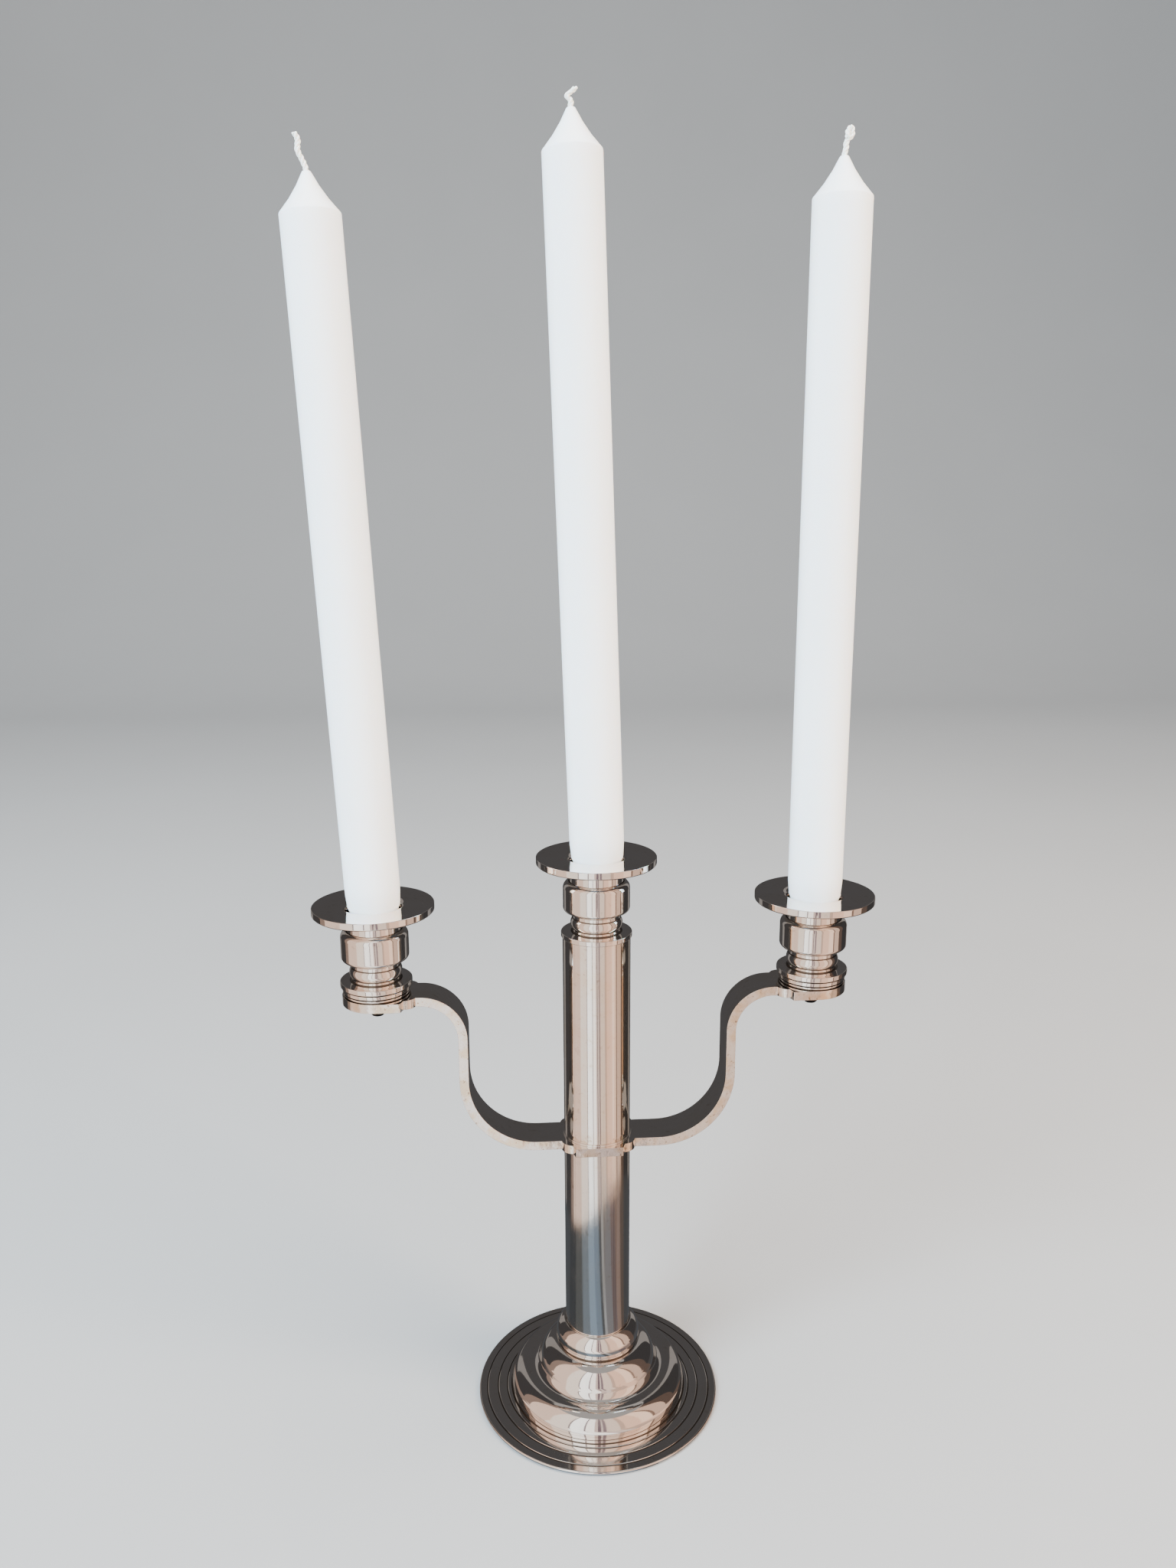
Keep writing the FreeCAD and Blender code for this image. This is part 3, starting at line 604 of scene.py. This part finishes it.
def bar():
    """One bar: centre boss, flat strip bent into two arms, and round socket tabs."""
    thick, strip = 3.8, 8.0
    boss, depth = 9.8, 15.3
    tab_radius, tab_root = 14.0, 10.5
    shoulder_run, shoulder_drop, root_run, root_round = 1.0, 3.0, 4.6, 5.0
    elbow, elbow_round, riser_top, swan = 25.4, 30.0, 50.8, 17.3
    reach = middle("socket_right").x
    base = low("branch_bar").z

    def run(corner, inner, sign):
        """Shoulder and hollow root, from the corner's (x, half width) down to the strip."""
        return drawn([
            (corner, inner),
            (corner + sign * shoulder_run, inner - shoulder_drop),
            (corner + sign * (shoulder_run + root_run), strip, root_round,
             "round" if sign < 0 else "hollow"),
        ])

    bpy.ops.object.select_all(action="DESELECT")
    bpy.ops.mesh.primitive_cube_add(size=1, location=(boss / 2 * MM, 0, (base + thick / 2) * MM),
                                    scale=(boss * MM, 2 * depth * MM, thick * MM))
    piece = bpy.context.object
    piece.name = "branches"
    bpy.ops.object.transform_apply(location=True, rotation=True, scale=True)
    pick(piece, lambda face: face.normal.x < -0.9)
    bpy.ops.mesh.delete(type="FACE")
    bpy.ops.object.mode_set(mode="OBJECT")
    pick(piece, lambda face: face.normal.x > 0.9)

    def follow(points):
        """Extrude along X through (x, half width) points at the present height."""
        for before, after in zip(points, points[1:]):
            push(((after.x - before.x) * MM, 0, 0), after.y / before.y,
                 (after.x * MM, 0, 0))

    root = run(boss, depth, 1)
    follow(root)
    push(((elbow - root[-1].x) * MM, 0, 0))
    bend = math.radians(90)
    elbow_centre = (elbow * MM, 0, (base + elbow_round + thick / 2) * MM)
    bpy.ops.mesh.spin(steps=22, angle=bend, center=elbow_centre, axis=(0, 1, 0))
    riser_low = base + elbow_round + thick / 2
    push((0, 0, (base + riser_top - riser_low) * MM))
    riser = elbow + elbow_round
    swan_centre = ((riser + swan) * MM, 0, (base + riser_top) * MM)
    bpy.ops.mesh.spin(steps=18, angle=bend, center=swan_centre, axis=(0, -1, 0))
    tab_start = run(reach - tab_root, tab_radius, -1)[::-1]
    push(((tab_start[0].x - riser - swan) * MM, 0, 0))
    follow(tab_start)
    push(((reach - tab_start[-1].x) * MM, 0, 0))
    steps = 16
    rounded = [Vector((reach, tab_radius))]
    for k in range(1, steps + 1):
        angle = bend * k / (steps + 0.35)
        rounded.append(Vector((reach + tab_radius * math.sin(angle),
                               tab_radius * math.cos(angle))))
    follow(rounded)
    bpy.ops.object.mode_set(mode="OBJECT")
    only(piece)
    mirror = piece.modifiers.new("other arm", "MIRROR")
    mirror.merge_threshold = 0.005 * MM
    bpy.ops.object.modifier_apply(modifier=mirror.name)
    bpy.ops.object.mode_set(mode="EDIT")
    bpy.ops.mesh.select_all(action="SELECT")
    bpy.ops.mesh.remove_doubles(threshold=0.002 * MM)
    bpy.ops.mesh.normals_make_consistent(inside=False)
    bpy.ops.object.mode_set(mode="OBJECT")
    polish(piece, 0.42, 3)
    settle(piece, "root", "silver_plate", BAR, "branch_bar")


# ---------------------------------------------------------------- sockets, rings, screws

def socket(side):
    """Turned candle socket: flange, waist, bead and open cup."""
    node = f"socket_{side}"
    spigot = 5.0 if side == "centre" else 0.0
    seat = low(node).z + spigot
    bore = 3.05 if side == "centre" else 2.55
    corners = [
        (bore, 0), (14.2, 0), (14.6, 0.4, 0.4, "round"), (14.6, 1.8), (14.2, 2.2, 0.4, "round"),
        (10.6, 2.2), (9.8, 2.6, 0.9, "hollow"), (9.8, 3.5), (9.8, 8.3, 3.65, "round"),
        (9.8, 9.7), (12.0, 10.9, 2.6, "hollow"), (13.7, 12.6, 1.7, "round"), (13.7, 20.9),
        (11.4, 23.6, 3.0, "round"), (11.4, 12.0), (bore, 12.0),
    ]
    if side == "centre":
        corners = [(bore, -5), (12.9, -5), (12.9, 0)] + corners[1:]
    piece = lathe(f"candle_socket_{side}", corners, seat, middle(node).x, bored=True)
    polish(piece, 0.12)
    settle(piece, "root", "silver_plate", TURNED, node)
    # Dark lines in the socket's corners under the flange and beside the bead: painted shade and
    # painted dark reflection in part, tarnish in part.
    paint_groove_shade_and_tarnish(piece, middle(node).x, [(9.0, 10.7, seat + 2.15, seat + 2.8),
                                 (9.0, 10.4, seat + 8.0, seat + 8.5)])


def ring(side):
    """Grooved ring between tab and socket."""
    node = f"spacer_ring_{side}"
    corners = [
        (2.7, 0), (12.6, 0), (12.6, 0.35), (13.5, 0.4), (13.5, 1.1), (12.4, 1.15), (12.4, 1.65),
        (13.8, 1.7), (13.8, 3.1), (12.5, 3.15), (12.5, 3.7), (2.7, 3.7),
    ]
    piece = lathe(f"grooved_ring_{side}", corners, low(node).z, middle(node).x, bored=True)
    settle(polish(piece, 0.1), "root", "silver_plate", TURNED, node)
    # Dark lines in the ring's grooves: painted shade and painted dark reflection in part, tarnish
    # in part.
    paint_groove_shade_and_tarnish(piece, middle(node).x, [(12.0, 13.2, low(node).z, high(node).z)])


def screw(side):
    """Cap screw, its domed head a little deeper than the node's, a six-sided socket in it,
    and its washer."""
    deeper, key_width, key_depth = 1.7, 3.0, 4.0
    node = f"screw_{side}"
    across = middle(node).x
    corners = [(2.3, -deeper), (3.6, 1.2, 4.4, "round"), (3.6, 3.4), (2.5, 3.4), (2.5, 17.0),
               (2.1, 17.4)]
    piece = lathe(f"cap_screw_{side}", corners, low(node).z, across, sides=64)
    bpy.ops.object.select_all(action="DESELECT")
    bpy.ops.mesh.primitive_cylinder_add(vertices=6, depth=key_depth * MM,
                                        radius=key_width / 2 / math.cos(math.pi / 6) * MM,
                                        location=(across * MM, 0, (low(node).z - deeper) * MM))
    key = bpy.context.object
    only(piece)
    cut = piece.modifiers.new("key", "BOOLEAN")
    cut.object = key
    cut.operation = "DIFFERENCE"
    bpy.ops.object.modifier_apply(modifier=cut.name)
    bpy.data.objects.remove(key)
    settle(polish(piece, 0.08), "root", "dark_steel", STEEL, node)
    node = f"dish_washer_{side}"
    corners = [(2.7, 0), (4.4, 0), (5.0, 0.6), (5.0, 1.2), (2.7, 1.2)]
    piece = lathe(f"washer_{side}", corners, low(node).z, across, bored=True, sides=64)
    settle(polish(piece, 0.06), "root", "dark_steel", STEEL, node)


def nozzle(side):
    """Loose nozzle: flat drip pan, funnel mouth and closed liner."""
    node = f"nozzle_{side}"
    under, tall = 18.7, 21.8
    corners = [
        (11.1, 0), (11.1, under - 1.2), (12.3, under, 1.2, "hollow"), (PAN_RADIUS - 0.5, under),
        (PAN_RADIUS, under + 0.5), (PAN_RADIUS, tall - 0.2), (PAN_RADIUS - 0.2, tall),
        (13.4, tall), (10.5, tall - 3.2, 3.6, "round"), (10.5, 0.6),
    ]
    piece = lathe(f"drip_pan_{side}", corners, low(node).z, middle(node).x, sides=160)
    settle(polish(piece, 0.12), f"{node}_body", "silver_plate", PAN, node)


# ---------------------------------------------------------------- candles and wicks

# Foot to shoulder, depth of the foot below the pan's top, and sideways play in the liner.
LENGTH = 278.0
DEPTH = {"left": 19.6, "centre": 16.6, "right": 12.8}
SLACK = {"left": 0.35, "centre": 0.35, "right": 0.0}


def leaning(side):
    """Matrix from a candle's own upright frame, in mm above its pan, to its place."""
    pan = high(f"nozzle_{side}").z
    across = middle(f"nozzle_{side}").x + SLACK[side]
    axis = LEAN[f"candle_{side}_body"]
    tip = Vector((0, 0, 1)).rotation_difference(axis).to_matrix().to_4x4()
    return Matrix.Translation(Vector((across, 0, pan)) * MM) @ tip


def candle(side):
    """Dinner candle: tapered foot, long barrel, small eased shoulder, hollow-sided tip."""
    foot_end = -DEPTH[side]
    shoulder = LENGTH - DEPTH[side]
    corners = [
        (7.9, foot_end), (8.7, foot_end + 0.8, 0.8, "round"), (9.45, -3.2), (10.5, 0.0),
        (10.92, 5.0), (11.0, 8.0), (11.0, shoulder / 3), (11.0, shoulder * 2 / 3),
        (11.0, shoulder - 1.8), (10.6, shoulder - 0.9, 1.2, "round"),
        (1.55, shoulder + 12.5, 56.0, "hollow"), (1.05, shoulder + 12.7),
    ]
    piece = lathe(f"dinner_candle_{side}", corners, 0, sides=96)
    piece.data.transform(leaning(side))
    settle(polish(piece, 0.3), f"candle_{side}_body", "wax", WAX, f"candle_{side}")


# Where each wick goes once it leaves the tip: across, back and up from it.
WICK_ENDS = {
    "left": [(0.0, 0.0, 1.2), (-0.9, 0.3, 4.4), (-2.3, -0.2, 7.9), (-2.0, 0.3, 11.4),
             (-2.9, 0.1, 13.6)],
    "centre": [(0.0, 0.0, 1.4), (0.1, 0.1, 3.2), (-1.0, 0.2, 4.5), (-0.8, 0.3, 5.4),
               (0.5, 0.2, 6.2), (1.8, 0.1, 7.3)],
    "right": [(0.0, 0.0, 1.2), (0.5, 0.1, 3.6), (0.7, 0.3, 6.0), (2.5, 0.3, 8.0),
              (2.1, 0.1, 10.7), (0.9, -0.2, 9.0), (1.0, -0.3, 6.9)],
}


def wick(side):
    """Three twisted yarns that run up the candle, come out of the tip and bend."""
    tip_height, strands = 11.5, 3
    tip = LENGTH - DEPTH[side] + tip_height
    path = [Vector((0, 0, -DEPTH[side] + 1)), Vector((0, 0, tip - 12)), Vector((0, 0, tip - 6))]
    path += [Vector((x, y, tip + up)) for x, y, up in WICK_ENDS[side]]
    yarns = []
    for strand in range(strands):
        bpy.ops.object.select_all(action="DESELECT")
        bpy.ops.curve.primitive_nurbs_path_add()
        line = bpy.context.object
        line.data.splines.clear()
        spline = line.data.splines.new("POLY")
        points = twisted(path, strand / strands)
        spline.points.add(len(points) - 1)
        for slot, point in zip(spline.points, points):
            slot.co = (*(point * MM), 1)
        line.data.bevel_depth = 0.53 * MM
        line.data.bevel_resolution = 3
        line.data.use_fill_caps = True
        bpy.ops.object.convert(target="MESH")
        yarns.append(bpy.context.object)
    bpy.ops.object.select_all(action="DESELECT")
    for yarn in yarns:
        yarn.select_set(True)
    bpy.context.view_layer.objects.active = yarns[0]
    bpy.ops.object.join()
    piece = bpy.context.object
    piece.name = f"braided_wick_{side}"
    only(piece)
    bpy.ops.object.transform_apply(location=True, rotation=True, scale=True)
    bpy.ops.object.mode_set(mode="EDIT")
    bpy.ops.mesh.select_all(action="SELECT")
    bpy.ops.mesh.remove_doubles(threshold=0.002 * MM)
    bpy.ops.mesh.normals_make_consistent(inside=False)
    bpy.ops.object.mode_set(mode="OBJECT")
    piece.data.transform(leaning(side))
    bpy.ops.object.shade_smooth()
    settle(piece, f"candle_{side}_body", "wick_cotton", COTTON, f"wick_{side}")


def twisted(path, share):
    """A yarn's line wound round the wick's path, which it starts a share of a turn on, and
    looser towards its end. The path is straight from its first point to its second."""
    pitch, yarn_radius, loosening = 5.2, 0.52, 0.12
    between = 10
    smooth = [path[0]]
    free = path[1:]
    for index in range(len(free) - 1):
        before = free[max(index - 1, 0)]
        after = free[min(index + 2, len(free) - 1)]
        start, end = free[index], free[index + 1]
        for k in range(between):
            t = k / between
            smooth.append(0.5 * (2 * start + (end - before) * t
                                 + (2 * before - 5 * start + 4 * end - after) * t * t
                                 + (3 * start - before - 3 * end + after) * t ** 3))
    smooth.append(free[-1])
    wound = []
    travelled = 0.0
    for index, point in enumerate(smooth):
        if index:
            travelled += min((point - smooth[index - 1]).length, 1.0)
        angle = 2 * math.pi * (share + travelled / pitch)
        spread = yarn_radius + loosening * max(0, index / len(smooth) - 0.8)
        wound.append(point + Vector((math.cos(angle), math.sin(angle), 0)) * spread)
    return wound


# ---------------------------------------------------------------- carried-over nodes

def carried():
    """Hidden and plain pieces keep their solids and take a finish."""
    finishes = {"base_felt": FELT, "base_plate": STEEL, "base_weight": PLASTER, "base_nut": STEEL,
                "base_washer": STEEL, "tie_rod": STEEL, "lower_tube_bush": BRASS,
                "upper_tube_bush": BRASS}
    for node, finish in finishes.items():
        piece = frame["nodes"][node]
        piece.data.materials.clear()
        piece.data.materials.append(finish)


# ---------------------------------------------------------------- studio

# Bearings of the reflected bands round the object, in degrees from the front, left negative,
# each up to the given bearing, with its colour and brightness.
ROOM = (
    (-147, (0.80, 0.78, 0.80), 0.09), (-133, (1.00, 0.95, 0.92), 0.28),
    (-104, (0.80, 0.76, 0.78), 0.07), (-92, (1.00, 0.72, 0.60), 0.32),
    (-62, (1.00, 0.74, 0.61), 1.10), (-40, (1.00, 0.87, 0.77), 1.35),
    (-38, (0.80, 0.66, 0.64), 0.55), (-29, (0.97, 0.98, 0.97), 2.10),
    (-28, (0.80, 0.72, 0.72), 0.80), (-22, (0.97, 0.98, 0.97), 2.00),
    (-20, (0.80, 0.63, 0.68), 0.50), (-11, (1.00, 0.95, 0.90), 1.90),
    (-6, (1.00, 0.78, 0.71), 0.95), (-3, (0.78, 0.58, 0.65), 0.32),
    (1, (1.00, 0.82, 0.74), 1.05), (4, (0.80, 0.60, 0.65), 0.42),
    (20, (1.00, 0.79, 0.67), 1.15), (27, (1.00, 0.69, 0.54), 0.80),
    (46, (1.00, 0.65, 0.48), 1.25), (62, (1.00, 0.70, 0.53), 1.50),
    (66, (0.80, 0.52, 0.40), 0.35), (84, (1.00, 0.69, 0.53), 0.85),
    (100, (0.80, 0.56, 0.46), 0.16), (133, (0.80, 0.76, 0.78), 0.06),
    (147, (1.00, 0.95, 0.92), 0.28), (180, (0.80, 0.78, 0.80), 0.09),
)
TABLE = (
    (-110, (0.85, 0.92, 1.00), 0.09), (-84, (0.85, 0.92, 1.00), 0.07),
    (-62, (0.95, 1.00, 1.00), 0.11), (-42, (0.75, 0.88, 1.00), 0.26),
    (-24, (0.62, 0.80, 1.00), 0.46), (-8, (0.62, 0.79, 1.00), 0.34),
    (0, (0.85, 0.92, 1.00), 0.12), (8, (0.95, 0.97, 1.00), 0.42),
    (34, (1.00, 0.97, 1.00), 0.22), (54, (1.00, 0.78, 0.78), 0.18),
    (78, (1.00, 0.73, 0.63), 0.28), (100, (1.00, 0.82, 0.76), 0.12),
    (180, (0.85, 0.90, 1.00), 0.09),
)
LID = ((180, (1.00, 0.97, 0.95), 0.42),)


def lit(bands, bearing):
    """Emitted colour of the band at a bearing."""
    _, colour, glow = next(band for band in bands if bearing <= band[0])
    return tuple(c * glow for c in colour) + (1,)


def tent():
    """Cards that only the silver sees: a dull table disc that glares at low angles, glowing
    bands beyond it on the floor, the same bands standing behind them, and a plain lid."""
    table, reach, tall, aside, lift = 0.165, 0.68, 1.3, 0.022, 0.0004
    glare_starts, glare_full, glare_turn = 0.64, 0.76, 10
    bpy.ops.object.select_all(action="DESELECT")
    bpy.ops.mesh.primitive_circle_add(vertices=180, radius=table, fill_type="TRIFAN",
                                      location=(aside, 0, lift))
    cards = bpy.context.object
    cards.name = "reflected_cards"
    bpy.ops.object.mode_set(mode="EDIT")
    bpy.ops.mesh.select_mode(type="EDGE")
    bpy.ops.mesh.select_all(action="DESELECT")
    bpy.ops.mesh.select_non_manifold()
    bpy.ops.mesh.extrude_edges_move()
    grow = reach / table
    bpy.ops.transform.resize(value=(grow, grow, 1), center_override=(aside, 0, 0))
    bpy.ops.mesh.extrude_edges_move(TRANSFORM_OT_translate={"value": (0, 0, tall)})
    bpy.ops.mesh.edge_face_add()
    bpy.ops.object.mode_set(mode="OBJECT")
    only(cards)
    bpy.ops.object.transform_apply(location=True, rotation=True, scale=True)
    for index, (bearing, _, _) in enumerate(ROOM + TABLE + LID):
        made = bpy.data.materials.new(f"card_{index}")
        made.use_nodes = True
        tree = made.node_tree
        tree.nodes.clear()
        light = tree.nodes.new("ShaderNodeEmission")
        if index < len(ROOM):
            light.inputs["Color"].default_value = lit(ROOM, bearing)
        elif index == len(ROOM + TABLE):
            light.inputs["Color"].default_value = lit(LID, bearing)
        else:
            facing = tree.nodes.new("ShaderNodeLayerWeight").outputs["Facing"]
            glare = remap(tree, facing, glare_starts, glare_full, 0, 1)
            tree.links.new(
                blend(tree, glare, lit(TABLE, bearing), lit(ROOM, bearing - glare_turn)),
                light.inputs["Color"])
        end = tree.nodes.new("ShaderNodeOutputMaterial")
        tree.links.new(light.outputs[0], end.inputs["Surface"])
        cards.data.materials.append(made)
    for face in cards.data.polygons:
        out = face.center - Vector((aside, 0, 0))
        bearing = math.degrees(math.atan2(out.x, -out.y))
        near = out.xy.length < table
        bands = TABLE if near else ROOM
        index = next(k for k, band in enumerate(bands) if bearing <= band[0])
        face.material_index = index + (len(ROOM) if near else 0)
        if out.z > tall - MM:
            face.material_index = len(ROOM + TABLE)
    for unseen in ("camera", "diffuse", "transmission", "volume_scatter", "shadow"):
        setattr(cards, f"visible_{unseen}", False)


def sweep():
    """Pale paper floor that curves up into a wall behind the object."""
    size, forward, wall, curve_size = 9, 1.2, 4, 1.4
    bpy.ops.object.select_all(action="DESELECT")
    bpy.ops.mesh.primitive_plane_add(size=size, location=(0, -forward, 0))
    floor = bpy.context.object
    floor.name = "sweep"
    bpy.ops.object.mode_set(mode="EDIT")
    bpy.ops.mesh.select_mode(type="EDGE")
    bpy.ops.mesh.select_all(action="DESELECT")
    bpy.ops.object.mode_set(mode="OBJECT")
    for edge in floor.data.edges:
        edge.select = all(floor.data.vertices[v].co.y > 0 for v in edge.vertices)
    bpy.ops.object.mode_set(mode="EDIT")
    bpy.ops.mesh.extrude_edges_move(TRANSFORM_OT_translate={"value": (0, 0, wall)})
    bpy.ops.object.mode_set(mode="OBJECT")
    only(floor)
    bpy.ops.object.transform_apply(location=True, rotation=True, scale=True)
    curve = floor.modifiers.new("sweep curve", "BEVEL")
    curve.width = curve_size
    curve.segments = 24
    bpy.ops.object.modifier_apply(modifier=curve.name)
    bpy.ops.object.shade_smooth()
    made, tree, shader, place = begin("pale_paper", Roughness=0.85)
    mottle = noise(tree, place, 3, 3, 0.5)
    tree.links.new(blend(tree, mottle, (0.34, 0.337, 0.333, 1), (0.365, 0.361, 0.357, 1)),
                   shader.inputs["Base Color"])
    floor.data.materials.append(made)


def lamp(name, place, aim, size, power, colour):
    """A soft rectangular light, unseen by the camera and by reflections, facing a point."""
    light = bpy.data.lights.new(name, "AREA")
    light.shape = "RECTANGLE"
    light.size, light.size_y = size
    light.energy = power
    light.color = colour
    made = bpy.data.objects.new(name, light)
    made.location = place
    made.rotation_euler = (Vector(aim) - Vector(place)).to_track_quat("-Z", "Y").to_euler()
    made.visible_camera = False
    made.visible_glossy = False
    bpy.context.scene.collection.objects.link(made)


def surround():
    """Even pale light from all round."""
    world = bpy.data.worlds.new("studio")
    world.use_nodes = True
    backdrop = world.node_tree.nodes["Background"]
    backdrop.inputs["Color"].default_value = (0.95, 0.97, 1.00, 1)
    backdrop.inputs["Strength"].default_value = 0.85
    bpy.context.scene.world = world


def camera():
    """A wide lens held close, in front of the object and a little above its arms."""
    eye = (-0.03346, -0.45252, 0.38011)
    forward = Vector((0.06495, 0.97304, -0.22128))
    roll = math.radians(-0.237)
    made = bpy.data.objects.new("camera", bpy.data.cameras.new("camera"))
    bpy.context.scene.collection.objects.link(made)
    made.data.lens = 26.81
    made.data.sensor_width = 36
    made.data.clip_start = 0.02
    made.location = eye
    level = forward.to_track_quat("-Z", "Y").to_matrix()
    made.rotation_euler = (level @ Matrix.Rotation(roll, 3, "Z")).to_euler()
    bpy.context.scene.camera = made


def studio():
    """Sweep, pale surround, three soft lights, the reflected cards and the camera."""
    sweep()
    surround()
    lamp("left_soft", (-1.25, -1.15, 1.15), (0, 0, 0.25), (1.1, 1.3), 150.0, (0.66, 0.85, 1.0))
    lamp("right_soft", (1.35, -0.75, 0.95), (0, 0, 0.25), (0.9, 1.2), 80.0, (1.0, 0.80, 0.62))
    lamp("overhead", (0.05, -0.1, 1.9), (0, 0.05, 0), (1.5, 1.0), 40.0, (1.0, 0.99, 0.98))
    tent()
    camera()


# ---------------------------------------------------------------- assembly

studio()
foot()
collar()
tubes()
bar()
for side in SIDES:
    socket(side)
    nozzle(side)
    candle(side)
    wick(side)
for side in ("left", "right"):
    ring(side)
    screw(side)
carried()
